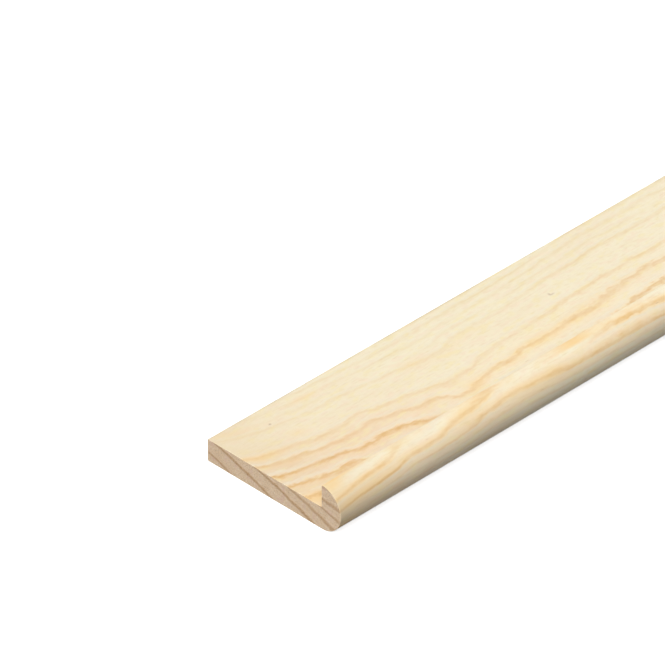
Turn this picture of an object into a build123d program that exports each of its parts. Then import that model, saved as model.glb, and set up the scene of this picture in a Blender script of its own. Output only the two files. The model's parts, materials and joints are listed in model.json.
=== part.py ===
"""Hockey stick moulding: one length of planed pine, a flat strip with a half-round lip along one edge.

The frame is the moulding as it lies on a floor. +X runs across it towards the lip, +Y along it and +Z up,
with the origin under its middle.
"""

import os

from build123d import *

# Driving dimensions, in millimetres
LENGTH = 2400.0  # stock length, sawn square at both ends
WIDTH = 42.0  # from the square back edge to the crown of the nose
HEIGHT = 12.0  # from the underside to the top of the lip
FLAT_THICKNESS = 6.0  # of the strip beside the lip, under the rebate
LIP_THICKNESS = 6.0  # from the rebate's wall to the crown of the nose
ARRIS_RADIUS = 0.3  # of the outer corners, eased so that they don't splinter
ROOT_RADIUS = 0.3  # left by the cutter where the rebate's wall meets its seat

# Places on the section that follow from them
NOSE_RADIUS = HEIGHT / 2  # the nose is a full half round
NOSE_CENTRE_X = WIDTH / 2 - NOSE_RADIUS
BACK_EDGE_X = -WIDTH / 2
REBATE_WALL_X = WIDTH / 2 - LIP_THICKNESS

with BuildPart() as moulding:
    # The section, drawn as it is seen from the near end
    with BuildSketch(Plane.XZ) as section:
        # Planed bar with one half-round edge
        with BuildLine():
            underside = Line((BACK_EDGE_X, 0), (NOSE_CENTRE_X, 0))
            nose = TangentArc(underside @ 1, (NOSE_CENTRE_X, HEIGHT), tangent=underside % 1)
            Polyline(nose @ 1, (BACK_EDGE_X, HEIGHT), underside @ 0)
        make_face()

        # Rebate, which leaves the flat and stands the lip up beside it
        with Locations((BACK_EDGE_X, FLAT_THICKNESS)):
            Rectangle(
                REBATE_WALL_X - BACK_EDGE_X,
                HEIGHT - FLAT_THICKNESS,
                align=(Align.MIN, Align.MIN),
                mode=Mode.SUBTRACT,
            )

        # The two upright edges are the back edge and the rebate's wall, which runs from root to tip.
        # Easing the tip makes the wall anew, so it is picked again for its root.
        back_edge, rebate_wall = section.edges().filter_by(Axis.Y).sort_by(Axis.X)
        lip_tip = rebate_wall.vertices().sort_by(Axis.Y).last
        fillet([*back_edge.vertices(), lip_tip], radius=ARRIS_RADIUS)

        rebate_wall = section.edges().filter_by(Axis.Y).sort_by(Axis.X).last
        root = rebate_wall.vertices().sort_by(Axis.Y).first
        fillet(root, radius=ROOT_RADIUS)
    extrude(amount=LENGTH / 2, both=True)

moulding.part.label = "hockey_stick_moulding"

os.makedirs("parts", exist_ok=True)
export_step(moulding.part, "parts/hockey_stick_moulding.step")
print(f"moulding {LENGTH:g} x {WIDTH:g} x {HEIGHT:g} mm, volume {moulding.part.volume:.0f} mm3")
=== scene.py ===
# %% [markdown]
# # A length of pine hockey stick moulding
#
# The object is one planed strip of pine with a half-round lip standing up along one edge. Joiners pin it
# over the edge of a panel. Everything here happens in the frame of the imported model: metres, +X across the
# strip towards the lip, +Y along it, +Z up. We load that frame first and note its box, because nothing that
# we make may leave it.

# %% Load the frame
import json
import math

import bpy
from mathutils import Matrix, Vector


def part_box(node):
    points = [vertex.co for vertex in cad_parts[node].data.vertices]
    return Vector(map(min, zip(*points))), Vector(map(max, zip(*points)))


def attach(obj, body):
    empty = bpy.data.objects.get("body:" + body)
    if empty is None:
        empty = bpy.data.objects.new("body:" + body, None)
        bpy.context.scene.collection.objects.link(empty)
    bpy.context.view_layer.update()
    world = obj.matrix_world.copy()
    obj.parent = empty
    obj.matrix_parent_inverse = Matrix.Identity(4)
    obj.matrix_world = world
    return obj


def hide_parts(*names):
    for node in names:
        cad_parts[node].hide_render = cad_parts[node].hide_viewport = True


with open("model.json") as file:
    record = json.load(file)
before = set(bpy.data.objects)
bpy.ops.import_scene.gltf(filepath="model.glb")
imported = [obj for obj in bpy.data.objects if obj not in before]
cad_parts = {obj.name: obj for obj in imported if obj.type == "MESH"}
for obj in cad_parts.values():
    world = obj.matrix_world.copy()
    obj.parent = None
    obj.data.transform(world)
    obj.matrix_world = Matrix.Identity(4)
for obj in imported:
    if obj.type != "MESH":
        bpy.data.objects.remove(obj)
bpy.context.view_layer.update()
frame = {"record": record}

# %% [markdown]
# ## Sizes of the section
#
# We could type every size again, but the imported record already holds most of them: the place of the rebate's
# seat gives the thickness of the flat, and the place of its wall gives the thickness of the lip. Only the
# small radii are written here. The section is drawn in millimetres, the joiner's unit, and turned into
# metres when the mesh is made.

# %% Read the sizes
MM = 0.001
MOULDING = "hockey_stick_moulding"
ARRIS_RADIUS = 0.3  # of the eased outer corners
ROOT_RADIUS = 0.3  # left by the cutter in the rebate's inner corner
SAWN_EASE = 0.1  # how far the saw and a rub of paper round the edges of an end

mounts = {mount["name"]: Vector(mount["pos_m"]) / MM for mount in frame["record"]["mounts"]}
low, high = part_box(MOULDING)
near_end = low[1] / MM
far_end = high[1] / MM
length = far_end - near_end
back_edge = mounts["back_edge"].x
flat_thickness = mounts["rebate_seat"].z
wall = mounts["rebate_wall"].x
nose_radius = flat_thickness  # the rebate is cut to half the height of the half-round nose
width = wall + nose_radius - back_edge
print(f"{length:.0f} mm long and {width:.1f} mm wide")
print(f"the flat is {flat_thickness:.1f} mm thick, the nose has a radius of {nose_radius:.1f} mm")

# %% [markdown]
# ## The outline of the section
#
# A section like this is straight runs joined by arcs. Each point of the outline carries the direction that
# the surface faces there. With those directions as custom normals, the arcs shade as true arcs and the flats
# stay flat, without a dense mesh. The outline starts under the middle of the strip, so that the seam of the
# texture map ends up out of sight, and it goes round counter-clockwise as seen from the near end.

# %% Draw the outline
NOSE_STEPS = 48
EASE_STEPS = 5
RUN_STEP = 3.0  # mm between points on a straight run


def straight(start, end):
    """Points from start up to end, facing right of the way they go."""
    way = Vector(end) - Vector(start)
    facing = Vector((way.y, -way.x)).normalized()
    count = max(1, round(way.length / RUN_STEP))
    return [(Vector(start) + way * step / count, facing) for step in range(count)]


def arc(centre, radius, first, last, steps, hollow=False):
    """Points round an arc between two angles in degrees, facing out of the arc, or into it if hollow."""
    points = []
    for step in range(steps):
        angle = math.radians(first + (last - first) * step / steps)
        spoke = Vector((math.cos(angle), math.sin(angle)))
        points.append((Vector(centre) + spoke * radius, -spoke if hollow else spoke))
    return points


# The rounding of the lip's tip touches the wall and lies inside the nose's circle
tip_x = wall + ARRIS_RADIUS
tip_rise = math.sqrt((nose_radius - ARRIS_RADIUS) ** 2 - ARRIS_RADIUS ** 2)
tip_z = nose_radius + tip_rise
tip_angle = math.degrees(math.atan2(tip_rise, ARRIS_RADIUS))

under_middle = (0.0, 0.0)
eased_back = back_edge + ARRIS_RADIUS
outline = [
    *straight(under_middle, (wall, 0.0)),
    *arc((wall, nose_radius), nose_radius, -90, tip_angle, NOSE_STEPS),
    *arc((tip_x, tip_z), ARRIS_RADIUS, tip_angle, 180, EASE_STEPS),
    *straight((wall, tip_z), (wall, flat_thickness + ROOT_RADIUS)),
    *arc((wall - ROOT_RADIUS, flat_thickness + ROOT_RADIUS), ROOT_RADIUS, 0, -90, EASE_STEPS, hollow=True),
    *straight((wall - ROOT_RADIUS, flat_thickness), (eased_back, flat_thickness)),
    *arc((eased_back, flat_thickness - ARRIS_RADIUS), ARRIS_RADIUS, 90, 180, EASE_STEPS),
    *straight((back_edge, flat_thickness - ARRIS_RADIUS), (back_edge, ARRIS_RADIUS)),
    *arc((eased_back, ARRIS_RADIUS), ARRIS_RADIUS, 180, 270, EASE_STEPS),
    *straight((eased_back, 0.0), under_middle),
]
around = len(outline)
print(f"the outline has {around} points")

# %% [markdown]
# ## Stations along the length
#
# The mesh is the outline repeated at stations along the strip. Near each end the stations follow a small
# quarter round, where the outline also shrinks a little. On the real piece the arrises of a sawn end are
# never razor sharp, and it is this rounding that catches the light as a thin pale line. The stations between
# are spaced evenly, so that the faces keep a sound shape.

# %% Place the stations
STATION_STEP = 20.0  # mm

stations = []  # how far along, how far the outline shrinks, and how much the surface faces along the strip
for step in range(EASE_STEPS):
    turn = math.radians(90 * step / EASE_STEPS)
    set_in = SAWN_EASE * (1 - math.cos(turn))
    stations.append((near_end + set_in, SAWN_EASE * (1 - math.sin(turn)), -math.cos(turn)))
spans = round(length / STATION_STEP)
for span in range(spans + 1):
    place = near_end + length * span / spans
    place = min(max(place, near_end + SAWN_EASE), far_end - SAWN_EASE)
    stations.append((place, 0.0, 0.0))
for place, shrink, lean in reversed(stations[:EASE_STEPS]):
    stations.append((near_end + far_end - place, shrink, -lean))
print(f"{len(stations)} stations along the strip")

# %% [markdown]
# ## The mesh
#
# Loft, array or curve bevel could all make this strip. Plain vertices and faces are the most exact: every
# vertex is a point of the outline at a station, neighbours are joined by quads, and one face closes each
# end. The end faces take the second material, the sawn one.

# %% Build the moulding
vertices = []
facings = []
for place, shrink, lean in stations:
    for point, facing in outline:
        section = point - facing * shrink
        vertices.append((section.x * MM, place * MM, section.y * MM))
        side = math.sqrt(1 - lean * lean)
        facings.append((facing.x * side, lean, facing.y * side))

faces = []
for row in range(len(stations) - 1):
    for column in range(around):
        here = row * around + column
        beside = row * around + (column + 1) % around
        faces.append((here, here + around, beside + around, beside))
last_station = (len(stations) - 1) * around
faces.append(tuple(range(around)))
faces.append(tuple(reversed(range(last_station, last_station + around))))

mesh = bpy.data.meshes.new("pine_moulding")
mesh.from_pydata(vertices, [], faces)
mesh.polygons.foreach_set("use_smooth", [True] * len(faces))
mesh.normals_split_custom_set_from_vertices(facings)
moulding = bpy.data.objects.new("pine_moulding", mesh)
bpy.context.collection.objects.link(moulding)
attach(moulding, "root")
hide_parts(MOULDING)
print(f"{len(vertices)} vertices and {len(faces)} faces")

# %% [markdown]
# ## A map for the surface
#
# When the model leaves Blender, its finish is baked into a square picture. A strip this long and thin would
# waste nearly all of such a square, so we cut it into a few rows, lay them one above the other, and put the
# two ends in the column that is left beside them. Every row keeps the true proportions of the wood.

# %% Unwrap the moulding in rows
MAP_ROWS = 5
MAP_GAP = 3.0  # mm between neighbours on the map

girth = [0.0]
for column in range(around):
    step = outline[(column + 1) % around][0] - outline[column][0]
    girth.append(girth[-1] + step.length)
row_length = length / MAP_ROWS
row_height = girth[-1] + MAP_GAP
map_side = MAP_ROWS * row_height

corners = []
for row in range(len(stations) - 1):
    starts = stations[row][0] - near_end
    ends = stations[row + 1][0] - near_end
    map_row = min(int((starts + ends) / 2 / row_length), MAP_ROWS - 1)
    left = starts - map_row * row_length
    right = ends - map_row * row_length
    for column in range(around):
        bottom = map_row * row_height + girth[column]
        top = map_row * row_height + girth[column + 1]
        corners += [(left, bottom), (right, bottom), (right, top), (left, top)]
for end, order in enumerate((range(around), reversed(range(around)))):
    for column in order:
        point = outline[column][0]
        across_map = row_length + MAP_GAP + point.x - back_edge
        up_map = MAP_GAP + end * (2 * nose_radius + MAP_GAP) + point.y
        corners.append((across_map, up_map))
uv_map = mesh.uv_layers.new(name="OFBake")
uv_map.data.foreach_set("uv", [value / map_side for corner in corners for value in corner])
print(f"the map's side stands for {map_side:.0f} mm, in {MAP_ROWS} rows of {row_length:.0f} mm")

# %% [markdown]
# ## Sums with sockets
#
# Pine is made below from sums on coordinates. Wiring dozens of Math nodes by hand is hard to read, so one
# small class wraps an output socket and takes part in Python's own arithmetic. Each operator adds the node
# that does that sum, and one method adds any other node. A node that holds a curve gets its points there too.


# %% A socket that does sums
def draw_curve(mapping, points, beyond):
    """Puts a node's curve smoothly through these points. Beyond says how it goes on outside them."""
    line = mapping.curves[0]
    line.points[0].location = points[0]
    line.points[1].location = points[-1]
    for at, given in points[1:-1]:
        line.points.new(at, given)
    for point in line.points:
        point.handle_type = "AUTO_CLAMPED"
    mapping.extend = beyond
    mapping.update()


class Wire:
    """An output socket of a node tree. Its operators add Math nodes, and node() adds any other kind."""

    def __init__(self, tree, socket=None):
        self.tree = tree
        self.socket = socket

    def node(self, kind, settings=None, sockets=None, out=0):
        """Adds a node: first its settings, then a value or a link for each socket."""
        made = self.tree.nodes.new(kind)
        for name, value in (settings or {}).items():
            if name == "curve":
                draw_curve(made.mapping, *value)
            else:
                setattr(made, name, value)
        for name, value in (sockets or {}).items():
            if isinstance(value, Wire):
                self.tree.links.new(value.socket, made.inputs[name])
            else:
                made.inputs[name].default_value = value
        return Wire(self.tree, made.outputs[out])

    def other(self, out):
        """Another output of the same node."""
        return Wire(self.tree, self.socket.node.outputs[out])

    def math(self, operation, *values):
        return self.node("ShaderNodeMath", {"operation": operation}, dict(enumerate(values)))

    def __add__(self, other):
        return self.math("ADD", self, other)

    def __sub__(self, other):
        return self.math("SUBTRACT", self, other)

    def __rsub__(self, other):
        return self.math("SUBTRACT", other, self)

    def __mul__(self, other):
        return self.math("MULTIPLY", self, other)

    def __truediv__(self, other):
        return self.math("DIVIDE", self, other)

    __radd__ = __add__
    __rmul__ = __mul__


print("sums such as 1 - mask now add their own nodes")

# %% [markdown]
# ## Shapes that sums can have
#
# A few small helpers are enough for wood: a smooth step, a rounded bump, a line through given points, noise
# that can be stretched more one way than another, and a mix of two colours. Colours are written as they look
# on a screen, from 0 to 255, and turned into the linear values that Blender calculates with.


# %% Helpers for the finish
def rise(value, start, end):
    """0 up to start, 1 from end on, with a smooth step between."""
    sockets = {"Value": value, "From Min": start, "From Max": end}
    return value.node("ShaderNodeMapRange", {"interpolation_type": "SMOOTHSTEP"}, sockets)


def bump_at(value, place, reach):
    """A rounded bump that is 1 at its place and nearly gone at twice its reach."""
    away = (value - place) / reach
    return value.math("EXPONENT", away * away * -1)


def follow(value, points, beyond="HORIZONTAL"):
    """A smooth line through points, each a value and what the line gives there."""
    start, end = points[0][0], points[-1][0]
    least = min(given for at, given in points)
    span = max(given for at, given in points) - least
    shares = [((at - start) / (end - start), (given - least) / span) for at, given in points]
    share = (value - start) / (end - start)
    line = value.node("ShaderNodeFloatCurve", {"curve": (shares, beyond)}, {"Value": share})
    return line * span + least


def mottle(place, sizes, detail=2.0, seed=0.0):
    """Noise about 0, between -1 and 1, whose blotches have these sizes in mm across, along and up."""
    fine = place.node(
        "ShaderNodeVectorMath",
        {"operation": "MULTIPLY_ADD"},
        {0: place, 1: [1 / size for size in sizes], 2: (seed, seed, seed)},
    )
    cloud = fine.node("ShaderNodeTexNoise", None, {"Vector": fine, "Scale": 1.0, "Detail": detail})
    return cloud * 2 - 1


def blend(first, second, share):
    """A mix of two colours."""
    sockets = {0: share, 6: first, 7: second}
    return share.node("ShaderNodeMix", {"data_type": "RGBA"}, sockets, out=2)


def shade(red, green, blue):
    """A colour as it looks on a screen, in linear values."""
    linear = []
    for level in (red / 255, green / 255, blue / 255):
        linear.append(level / 12.92 if level <= 0.04045 else ((level + 0.055) / 1.055) ** 2.4)
    return (*linear, 1.0)


print("pale pine is", [round(level, 3) for level in shade(246, 235, 206)[:3]], "in linear values")

# %% [markdown]
# ## Growth rings through the whole strip
#
# The lines on the flat, on the nose and on the sawn end are all the same growth rings, cut in different
# directions. We could paint each face by itself, but then the lines wouldn't meet at the edges. So every
# place in the wood gets a level, in millimetres, that is the same all over one ring. In the section the rings
# fall towards the lip by about a third of a millimetre for each millimetre, and flatten out there. Along the
# strip they rise and sink as the trunk grew, so the lines wander nearly the same way all over it. What is
# different is given by lifts for the back edge, the flat, the strip beside the lip, the nose and the lip's
# crest. Near the end that we look at, the rings are placed one by one, and further on noise takes over.

# %% Work out the level of the rings
RINGS = (  # level in mm, how dark its line is on planed faces, and how dark on sawn ends
    (-7.4, 0.4, 0.2),
    (-6.2, 0.3, 0.2),
    (-5.0, 0.4, 0.9),
    (-3.8, 0.35, 0.2),
    (-2.6, 0.35, 0.1),
    (-1.4, 0.35, 0.1),
    (-0.2, 0.25, 0.1),
    (0.9, 0.4, 1.0),
    (2.4, 0.15, 0.1),
    (4.1, 0.5, 0.1),
    (5.3, 0.6, 1.0),
    (6.7, 0.85, 0.15),
    (7.8, 0.75, 0.85),
    (8.9, 0.7, 0.1),
    (9.6, 0.5, 0.9),
    (10.3, 0.7, 0.1),
    (11.0, 0.85, 0.9),
    (11.95, 0.75, 0.1),
    (12.9, 0.3, 0.5),
    (14.0, 0.3, 0.3),
)
LIFT = (  # mm along from the near end, and mm that the rings lie higher there
    (0, 0.0),
    (3, 0.45),
    (8, 0.85),
    (18, 1.55),
    (26, 1.8),
    (30, 1.6),
    (34, 1.95),
    (40, 2.2),
    (47, 2.65),
    (53, 3.1),
    (60, 3.2),
    (66, 2.65),
    (76, 2.55),
    (88, 2.4),
    (96, 2.1),
    (115, 2.0),
)
LIP_LIFT = (  # the same beside the lip
    (0, 0.1),
    (10, 0.8),
    (18, 1.15),
    (23, 1.75),
    (28, 1.7),
    (34, 1.85),
    (38, 2.2),
    (41, 2.5),
    (46, 2.75),
    (50, 3.3),
    (53, 3.7),
    (57, 3.5),
    (61, 3.2),
    (64, 3.0),
    (71, 3.1),
    (75, 2.8),
    (86, 2.9),
    (115, 2.2),
)
NOSE_LIFT = (  # the same in the nose
    (0, 0.1),
    (10, 0.8),
    (18, 1.15),
    (24, 1.75),
    (30, 1.8),
    (37, 1.95),
    (43, 2.3),
    (50, 2.85),
    (60, 3.0),
    (70, 2.55),
    (80, 2.3),
    (115, 2.2),
)
CREST_LIFT = (  # the same in the lip's crest
    (0, 0.1),
    (10, 0.8),
    (18, 1.15),
    (24, 1.9),
    (30, 1.95),
    (38, 2.6),
    (46, 2.95),
    (50, 3.1),
    (54, 3.3),
    (58, 3.3),
    (62, 3.1),
    (70, 3.05),
    (75, 2.75),
    (92, 2.9),
    (115, 2.2),
)
BACK_LIFT = ((0, 0.0), (15, 1.6), (35, 2.6), (80, 2.9), (115, 2.0))  # the same along the back edge
FALL = 0.406  # mm that the rings fall for each mm across at the back edge
FLATTEN = 0.0038  # how much gentler they fall further across
SQUEEZE = 0.026  # how much less a mm of height counts for each mm nearer the lip
LIFT_SQUEEZE = 0.02  # how much less a mm of lift counts
SQUEEZE_FROM = 20.0  # mm across
PLACED_TO = 105.0  # mm along, as far as the rings are placed
FREE_FROM = 330.0  # mm along, from where noise alone lifts them


def calm(across):
    """How much of the rings' unrest is left. There is less of it in the lip."""
    return 1 - rise(across, 31, 37) * 0.6


def ring_level(place, across, along, up):
    """The level of the ring through a place, in mm."""
    inner = rise(across, -3, 17)
    by_lip = rise(across, 19.5, 26)
    lift = follow(along, BACK_LIFT) * (1 - inner) + follow(along, LIFT) * inner
    lift = lift * (1 - by_lip) + follow(along, LIP_LIFT) * by_lip
    in_lip = rise(across, 34, 36.5)
    crest = rise(up, 8.8, 10.4)
    lip_lift = follow(along, NOSE_LIFT) * (1 - crest) + follow(along, CREST_LIFT) * crest
    lift = lift * (1 - in_lip) + lip_lift * in_lip
    far_on = rise(along, PLACED_TO, FREE_FROM)
    lift = lift + mottle(place, (90, 190, 90), seed=4.0) * 5.0 * far_on
    lift = lift + mottle(place, (500, 700, 500), detail=0.0, seed=12.0) * 6.0 * far_on
    sway = mottle(place, (11, 10, 11), detail=1.5, seed=1.0) * (0.22 + rise(along, 95, 150) * 0.2)
    jog = mottle(place, (5, 5, 5), seed=3.0) * 0.22
    beyond = across - SQUEEZE_FROM
    height = (up - flat_thickness) * (1 - beyond * SQUEEZE) - lift * (1 - beyond * LIFT_SQUEEZE)
    return height + across * (FALL - across * FLATTEN) + (sway + jog) * calm(across)


print(f"{len(RINGS)} rings, from level {RINGS[0][0]} to {RINGS[-1][0]} mm")

# %% [markdown]
# ## From levels to lines
#
# A growth ring starts pale in spring and darkens until autumn, when it stops short. So a line has one sharp
# side, towards the bark, and one soft side. The level of a place is turned into a ring number, and what is
# left after rounding says how far past the dark line the place lies. A little stretched noise first frays
# the level, as fibres do. Each ring also gets noise of its own, by which it comes and goes along the strip.

# %% Number the rings
FRAY = 0.14  # mm of level
OWN_STEP = 7.3  # sets the noise of one ring apart from the next one's
OWN_LENGTH = 13.0  # mm over which a ring comes and goes


def grain(tree):
    """The place in the wood and what the rings are doing there, by name."""
    spot = Wire(tree).node("ShaderNodeTexCoord", out="Object")
    corner = (-back_edge, -near_end, 0.0)
    scale = (1 / MM, 1 / MM, 1 / MM)
    place = spot.node("ShaderNodeVectorMath", {"operation": "MULTIPLY_ADD"}, {0: spot, 1: scale, 2: corner})
    across = place.node("ShaderNodeSeparateXYZ", None, {0: place})
    along = across.other(1)
    up = across.other(2)
    level = ring_level(place, across, along, up)
    fray = mottle(place, (0.6, 5, 0.6), seed=2.0) + mottle(place, (0.7, 1.5, 0.7), seed=16.0) * 1.3
    fray = fray * FRAY * calm(across)
    ring = follow(level + fray, [(ring[0], number) for number, ring in enumerate(RINGS)], "EXTRAPOLATED")
    number = ring.math("ROUND", ring)
    own_place = {0: number * OWN_STEP, 1: along / OWN_LENGTH, 2: up / OWN_LENGTH}
    own_way = number.node("ShaderNodeCombineXYZ", None, own_place)
    own = own_way.node("ShaderNodeTexNoise", None, {"Vector": own_way, "Scale": 1.0, "Detail": 2.0})
    return {
        "place": place,
        "across": across,
        "along": along,
        "up": up,
        "level": level,
        "number": number,
        "past": ring - number,
        "own": rise(own, 0.3, 0.68),
    }


def ring_darkness(number, kind):
    """How dark a ring's line is: kind 1 on planed faces, 2 on sawn ends."""
    return follow(number, [(count, ring[kind]) for count, ring in enumerate(RINGS)])


def new_material(name):
    """A material with its tree and its surface shader."""
    material = bpy.data.materials.new(name)
    material.use_nodes = True
    return material, material.node_tree, material.node_tree.nodes["Principled BSDF"]


print("a place in the wood now knows its ring")

# %% [markdown]
# ## Lines on the planed faces
#
# On a planed face a growth ring shows as a thin brownish line inside a soft orange glow. Strong rings run on
# and on. Faint ones are more like straw and come and go, so the weaker a ring is, the more it is left to
# noise. On the nose the rings hold more resin and glow more. Noise alone could give such stretches as well,
# but it is by them that one piece of wood is told from another. So those near the end are placed one by one,
# along a ring or on the lip's crest, and so are others where a ring pales.

# %% Draw the lines of the planed faces
STREAK = (6.7, 15.0, 3.4)  # level of its ring in mm, mm along and half length of a brown streak
STREAK_REACH = 0.25  # mm of level
GLOWS = (  # level of the ring in mm, mm along, half length and strength of a resinous stretch
    (4.1, 3.0, 6.0, 0.45),
    (9.1, 2.0, 5.0, 0.6),
    (12.9, 2.0, 4.0, 0.6),
    (11.0, 5.0, 8.0, 0.3),
    (0.1, 5.0, 6.0, 0.2),
    (11.45, 12.0, 14.0, 0.3),
    (2.7, 16.0, 2.5, 0.25),
    (-1.4, 26.0, 4.0, 0.3),
    (11.0, 43.0, 8.0, 0.35),
    (0.7, 53.0, 4.0, 0.25),
    (5.3, 57.0, 4.0, 0.4),
    (10.3, 64.0, 12.0, 0.45),
    (1.6, 64.0, 12.0, 0.15),
    (5.3, 82.0, 18.0, 0.4),
)
FADES = (  # the same, for stretches where a ring pales
    (10.3, 15.0, 20.0, 0.5),
    (11.95, 27.0, 8.0, 0.7),
    (11.0, 44.0, 8.0, 0.25),
    (6.7, 46.0, 4.0, 0.95),
    (11.0, 62.0, 7.0, 1.0),
    (11.0, 75.0, 11.0, 1.0),
    (0.9, 78.0, 16.0, 0.5),
    (4.1, 78.0, 10.0, 0.3),
    (6.7, 84.0, 12.0, 0.5),
)
CREST_GLOWS = (  # mm along, half length, mm across as far as it reaches, and strength on the lip's crest
    (9.0, 8.0, 37.2, 0.5),
    (78.5, 6.5, 38.6, 0.85),
)
GLOW_REACH = 0.5  # mm of level
CREST_EDGE = 1.0  # mm over which one on the crest ends


def stretch(wood, ring_at, beside, half_length):
    """A soft patch on one ring, 1 in its middle."""
    return bump_at(wood["level"], ring_at, GLOW_REACH) * bump_at(wood["along"], beside, half_length)


planed, tree, surface = new_material("planed_pine")
wood = grain(tree)
place, across, along, up, past = (wood[name] for name in ("place", "across", "along", "up", "past"))
dark = ring_darkness(wood["number"], 1)
steady = rise(dark, 0.2, 0.5) * 0.7
strength = dark * (wood["own"] + steady * (1 - wood["own"]))
strength = strength * (1 + mottle(place, (1.2, 2.8, 1.2), seed=13.0) * 0.8)
under_nose = rise(across, 37, 40) * (1 - rise(up, 6.0, 9.5))
strength = strength * (1 - under_nose * 0.7)
strength = strength * (1 + rise(along, 45, 85) * (1 - rise(across, 8, 13)) * 0.5)
for ring_at, beside, half_length, fade in FADES:
    strength = strength * (1 - stretch(wood, ring_at, beside, half_length) * fade)
resin = rise(up, 7.5, 10.0)

brown = rise(dark, 0.2, 0.8) * 0.75 + 0.12 - resin * 0.35
thin = rise(past, -0.16, -0.01) * (1 - rise(past, 0.02, 0.26)) * strength * brown
faint = 1 - rise(dark, 0.3, 0.6)
halo = 0.42 + resin * 0.4 + faint * 0.35
broad = rise(past, -0.4, 0.02) * (1 - rise(past, 0.04, 0.5)) * strength * halo
glow = 0.0
for ring_at, beside, half_length, share in GLOWS:
    glow = glow + stretch(wood, ring_at, beside, half_length) * share
for beside, half_length, reach, share in CREST_GLOWS:
    crest = rise(up, 10.5, 11.5) * (1 - rise(across, reach - CREST_EDGE, reach))
    glow = glow + crest * bump_at(along, beside, half_length) * share
early = rise(past, -0.5, -0.3) * (1 - rise(past, -0.24, -0.12)) * strength
streak = bump_at(wood["level"], STREAK[0], STREAK_REACH) * bump_at(along, STREAK[1], STREAK[2])
print(f"{len(tree.nodes)} nodes for the lines")

# %% [markdown]
# ## The wood between the lines
#
# Between its lines, planed pine is a pale cream that is never quite even: rosier here, more like straw
# there, and streaked by fibres that the planer cut open. It is warmer towards the lip, with peach blotches
# near the end, and more resinous on the nose. A highlight is painted on the upper nose and the lip's crest
# as a paler cream. A painted picture could hold all this, but colours that are mixed in one by one stay
# sharp at any distance and are easy to change. The arrises of the back edge have been handled and rubbed,
# so they are a little greyer, in broken stretches. A few flecks and a pin mark make one piece of wood that
# piece and no other.

# %% Colour the planed faces
PALE = shade(246, 235, 206)
WARM = shade(241, 218, 187)
CREST_HIGHLIGHT = shade(251, 243, 218)
EARLY = shade(240, 231, 211)
ROSY = shade(246, 222, 194)
PEACH = shade(240, 204, 164)
STRAW = shade(245, 230, 182)
FIBRE = shade(228, 205, 163)
BY_ENDS = shade(228, 203, 165)
GLOW = shade(248, 211, 147)
RESIN = shade(255, 205, 148)
FAINT_LINE = shade(234, 216, 168)
LINE = shade(222, 178, 117)
DARK_STREAK = shade(196, 144, 92)
FLECK = shade(150, 104, 60)
WORN = shade(186, 176, 158)
FLECKS = (  # mm across, mm along, half width, half length and strength
    (5.9, 13.7, 0.25, 0.3, 0.5),
    (14.7, 94.2, 0.45, 0.25, 0.4),
    (15.1, 94.8, 0.22, 0.6, 0.35),
)
ARRISES = ((0.0, flat_thickness), (0.0, 0.0))  # mm across and up
ARRIS_REACH = 0.45  # mm
END_REACH = 13.0  # mm from an end, darkened by air and handling

fibre = mottle(place, (0.4, 14, 0.4), detail=3.0, seed=2.0)
dash = mottle(place, (0.5, 2.2, 0.5), seed=11.0)
tint = mottle(place, (1.6, 3.6, 1.6), seed=14.0)
patch = mottle(place, (8, 30, 8), seed=6.0)
blotch = mottle(place, (2.5, 7, 2.5), seed=17.0)
warm_here = 1 - rise(along, 25, 70) * 0.85 + rise(along, 110, 300) * 0.4
warmth = bump_at(wood["level"], 7.0, 2.8) * warm_here * 0.7 + patch * 0.4 + (1 - rise(along, 0, 75)) * 0.22
fleck = rise(mottle(place, (0.5, 3.5, 0.5), detail=1.0, seed=9.0), 0.52, 0.66) * 0.25
for at, beside, half_width, half_length, depth in FLECKS:
    spot = bump_at(across, at, half_width) * bump_at(along, beside, half_length)
    fleck = fleck + spot * rise(up, 4.0, 5.0) * depth
rubbed = rise(mottle(place, (20, 9, 20), seed=15.0), -0.35, 0.3)
worn = 0.0
for at, above in ARRISES:
    worn = worn + bump_at(across, at, ARRIS_REACH) * bump_at(up, above, ARRIS_REACH) * rubbed

colour = blend(PALE, WARM, warmth)
# A painted highlight: the upper nose and the lip's crest are paled towards a lighter cream.
colour = blend(colour, CREST_HIGHLIGHT, rise(up, 8, 11) * 0.6)
on_nose = rise(across, 37.5, 39.5) * rise(up, 6.5, 8.0) * (1 - rise(up, 10.8, 11.5))
colour = blend(colour, RESIN, on_nose * 0.22)
colour = blend(colour, ROSY, rise(tint, 0.0, 0.4) * 0.4)
by_lip = rise(across, 13, 20) * (1 - rise(up, 6.2, 6.8)) * (1 - rise(along, 15, 60))
colour = blend(colour, PEACH, rise(blotch, -0.25, 0.45) * by_lip * 0.45)
# Less straw on the crest keeps the painted highlight there pale.
colour = blend(colour, STRAW, rise(tint * -1, 0.0, 0.4) * (0.6 - rise(up, 9, 11) * 0.3))
colour = blend(colour, FIBRE, rise(fibre * 0.6 + dash * 0.8, -0.1, 0.8) * 0.5)
by_ends = bump_at(along, 0.0, END_REACH) + bump_at(along, length, END_REACH)
colour = blend(colour, BY_ENDS, by_ends * 0.35)
colour = blend(colour, EARLY, early * 0.7)
colour = blend(colour, blend(GLOW, FAINT_LINE, faint), broad)
colour = blend(colour, GLOW, glow)
colour = blend(colour, LINE, thin)
colour = blend(colour, DARK_STREAK, streak * 0.15)
colour = blend(colour, FLECK, fleck)
colour = blend(colour, WORN, worn * 0.7)
tree.links.new(colour.socket, surface.inputs["Base Color"])
print(f"{len(tree.nodes)} nodes with the colours")

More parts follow.
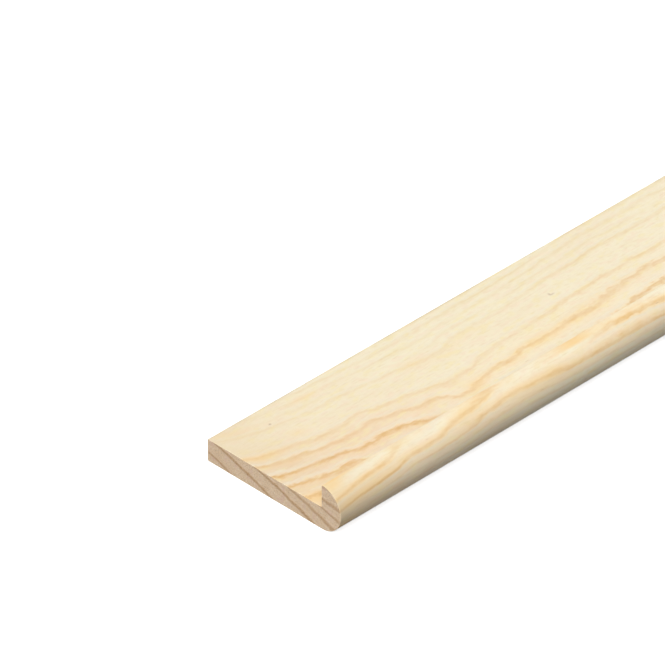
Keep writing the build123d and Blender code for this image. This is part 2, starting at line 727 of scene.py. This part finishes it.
# %% [markdown]
# ## The feel of the planed faces
#
# Hard latewood takes a slight polish from the knives and stands a hair proud, while the soft wood beside it
# stays matt. The knives also leave a ripple across the strip, about as wide as the feed between two cuts.
# All of it is far too fine to model, so it goes into roughness and bump.

# %% Roughness and relief of the planed faces
PLANER_STEP = 1.7  # mm between ripples

roughness = 0.62 + fibre * 0.12 + patch * 0.06 - thin * 0.14 - worn * 0.1
tree.links.new(roughness.socket, surface.inputs["Roughness"])
surface.inputs["Specular IOR Level"].default_value = 0.3
knife = along.math("SINE", along * (2 * math.pi / PLANER_STEP) + patch * 2.0)
relief = fibre * 0.025 + dash * 0.012 + thin * 0.03 + broad * 0.015 + knife * 0.003
bump = relief.node("ShaderNodeBump", None, {"Strength": 1.0, "Distance": MM, "Height": relief})
tree.links.new(bump.socket, surface.inputs["Normal"])
mesh.materials.append(planed)
print(f"{len(tree.nodes)} nodes in the finish of the planed faces")

# %% [markdown]
# ## The sawn ends
#
# End grain drinks in light, so it looks browner than the planed faces. The same rings cross it as soft brown
# lines, and on this piece about every second one is strong. A fine speckle stands for the open ends of the
# fibres, and the saw has left faint slanting scratches.

# %% Finish of the sawn ends
END_GROUND = shade(239, 211, 177)
END_LIGHT = shade(250, 232, 208)
END_DARK = shade(164, 130, 98)
END_ROSY = shade(224, 184, 164)
END_LINE = shade(184, 143, 99)
SAW_STEP = 0.55  # mm between scratches

sawn, tree, surface = new_material("sawn_pine_end")
wood = grain(tree)
place, across = wood["place"], wood["across"]
dark = ring_darkness(wood["number"], 2)
speckle = mottle(place, (0.42, 0.42, 0.42), detail=2.0, seed=7.0)
grit = mottle(place, (0.26, 0.26, 0.26), detail=1.0, seed=5.0)
cloud = mottle(place, (2.5, 2.5, 2.5), detail=2.0, seed=8.0)
wave = mottle(place, (4.0, 4.0, 4.0), detail=1.0, seed=10.0)
past = (wood["past"] + cloud * 0.1 + wave * 0.22) * (0.62 + rise(across, 8, 24) * 0.38)
line = rise(past, -0.46, -0.08) * (1 - rise(past, 0.08, 0.5)) * dark
scratch = mottle(place, (SAW_STEP, 4, 30), detail=2.0, seed=3.0)

colour = blend(END_GROUND, END_LIGHT, rise(speckle + cloud * 0.4, -0.05, 0.4))
colour = blend(colour, END_ROSY, rise(cloud, 0.0, 0.5) * 0.6)
colour = blend(colour, END_DARK, rise(grit - cloud * 0.3, 0.05, 0.4) * 0.65)
colour = blend(colour, END_LINE, line * (speckle * 0.9 + 0.7))
tree.links.new(colour.socket, surface.inputs["Base Color"])
roughness = 0.82 + speckle * 0.12 - line * 0.1
tree.links.new(roughness.socket, surface.inputs["Roughness"])
surface.inputs["Specular IOR Level"].default_value = 0.3

relief = speckle * 0.03 + grit * 0.02 + scratch * 0.03 + line * 0.03
bump = relief.node("ShaderNodeBump", None, {"Strength": 1.0, "Distance": MM, "Height": relief})
tree.links.new(bump.socket, surface.inputs["Normal"])
mesh.materials.append(sawn)
for end in (-1, -2):
    mesh.polygons[end].material_index = 1
print(f"{len(tree.nodes)} nodes in the finish of the sawn ends")

# %% [markdown]
# ## The floor
#
# The strip lies on a plain white floor. A white floor would throw light up under the nose, where such a
# strip is dark when it is photographed. We could stand black cards beside it, as photographers do. It is
# simpler to lift the floor that the camera sees to white, while the light that it hands on is that of a dark
# grey. The strip's shadow stays.

# %% Lay the floor
FLOOR_HALF = 40.0  # metres
FLOOR_SEEN = 0.9  # its paint, as the camera sees it
FLOOR_GLOW = 0.68  # what lifts that to white
FLOOR_BOUNCE = 0.04  # its paint, as the strip sees it

floor_mesh = bpy.data.meshes.new("floor")
floor_corners = [(x * FLOOR_HALF, y * FLOOR_HALF, 0.0) for x, y in ((-1, -1), (1, -1), (1, 1), (-1, 1))]
floor_mesh.from_pydata(floor_corners, [], [(0, 1, 2, 3)])
floor = bpy.data.objects.new("floor", floor_mesh)
bpy.context.collection.objects.link(floor)


def seen_directly(tree):
    """1 for rays from the camera and for those that mirrors and glass pass on."""
    path = Wire(tree).node("ShaderNodeLightPath", out="Is Camera Ray")
    seen = path + path.other("Is Glossy Ray") + path.other("Is Transmission Ray")
    return seen.math("MINIMUM", seen, 1.0)


floor_white, tree, surface = new_material("white_floor")
tree.nodes.remove(surface)
seen = seen_directly(tree)
white = seen.node("ShaderNodeBsdfDiffuse", None, {"Color": (FLOOR_SEEN, FLOOR_SEEN, FLOOR_SEEN, 1)})
glow = seen.node("ShaderNodeEmission", None, {"Color": (1, 1, 1, 1), "Strength": FLOOR_GLOW})
lifted = seen.node("ShaderNodeAddShader", None, {0: white, 1: glow})
grey = seen.node("ShaderNodeBsdfDiffuse", None, {"Color": (FLOOR_BOUNCE, FLOOR_BOUNCE, FLOOR_BOUNCE, 1)})
either = seen.node("ShaderNodeMixShader", None, {0: seen, 1: grey, 2: lifted})
tree.links.new(either.socket, tree.nodes["Material Output"].inputs["Surface"])
floor_mesh.materials.append(floor_white)
print(f"a floor {2 * FLOOR_HALF:.0f} m square")

# %% [markdown]
# ## The light
#
# One broad lamp above and in front of the sawn end, and an even glow from all round. A sun lamp with a wide
# angle acts like a very large soft box that lights both ends of the strip alike. Together they bring a level
# surface to about 1, so that a colour renders as it is written. The back edge and the far end would be dark,
# as they face away from the lamp. A second, weaker one stands low behind them, and only grazes the flat.

# %% Light the scene
KEY_FROM = Vector((0.33, -0.75, 1.0))
KEY_ON_TOP = 0.71  # share of the light on a level surface
KEY_ANGLE = 64.0  # degrees across
AROUND = 0.285  # the rest, from all round
FILL_FROM = Vector((-0.9, 0.42, 0.03))
FILL = 0.24  # of the light on a surface that faces it
FILL_ANGLE = 6.0  # degrees across


def add_sun(name, comes_from, share, angle):
    """A sun lamp that brings a white surface facing it to this share of white."""
    lamp = bpy.data.lights.new(name, "SUN")
    lamp.energy = share * math.pi
    lamp.angle = math.radians(angle)
    sun = bpy.data.objects.new(name, lamp)
    sun.rotation_mode = "QUATERNION"
    sun.rotation_quaternion = comes_from.to_track_quat("Z", "Y")
    bpy.context.collection.objects.link(sun)
    print(f"{name} of energy {lamp.energy:.2f}")


add_sun("broad_key", KEY_FROM, KEY_ON_TOP / KEY_FROM.normalized().z, KEY_ANGLE)
add_sun("low_fill", FILL_FROM, FILL, FILL_ANGLE)

world = bpy.data.worlds.new("studio")
world.use_nodes = True
bpy.context.scene.world = world
tree = world.node_tree
seen = seen_directly(tree)
background = tree.nodes["Background"]
background.inputs["Color"].default_value = (1, 1, 1, 1)
tree.links.new((AROUND + seen * (1 - AROUND)).socket, background.inputs["Strength"])
bpy.context.scene.view_settings.view_transform = "Standard"
print(f"{AROUND:.0%} of the light on the flat comes from all round")

# %% [markdown]
# ## The camera
#
# The picture looks down on the near end from the corner between the end and the nose, through a long lens,
# so that lines that run away hardly draw together.

# %% Set the camera
VIEW_AZIMUTH = 45.13  # degrees round from the near end
VIEW_HEIGHT = 35.22  # degrees above the floor
VIEW_DISTANCE = 1.992  # metres
LENS = 475.6  # mm
AIM = Vector((-33.73, near_end + 51.92, 2.69)) * MM

azimuth = math.radians(VIEW_AZIMUTH)
height = math.radians(VIEW_HEIGHT)
level_back = Vector((math.sin(azimuth), -math.cos(azimuth), 0.0))
back = level_back * math.cos(height) + Vector((0.0, 0.0, math.sin(height)))
camera_data = bpy.data.cameras.new("camera")
camera_data.lens = LENS
camera_data.sensor_width = 36.0
camera_data.clip_start = 0.1
camera_data.clip_end = 200.0
camera = bpy.data.objects.new("camera", camera_data)
camera.location = AIM + back * VIEW_DISTANCE
camera.rotation_mode = "QUATERNION"
camera.rotation_quaternion = (-back).to_track_quat("-Z", "Y")
bpy.context.collection.objects.link(camera)
bpy.context.scene.camera = camera
print("camera at", [round(c, 3) for c in camera.location])

# %% [markdown]
# ## Bring the scene up to date
#

# %% Update the view layer
bpy.context.view_layer.update()
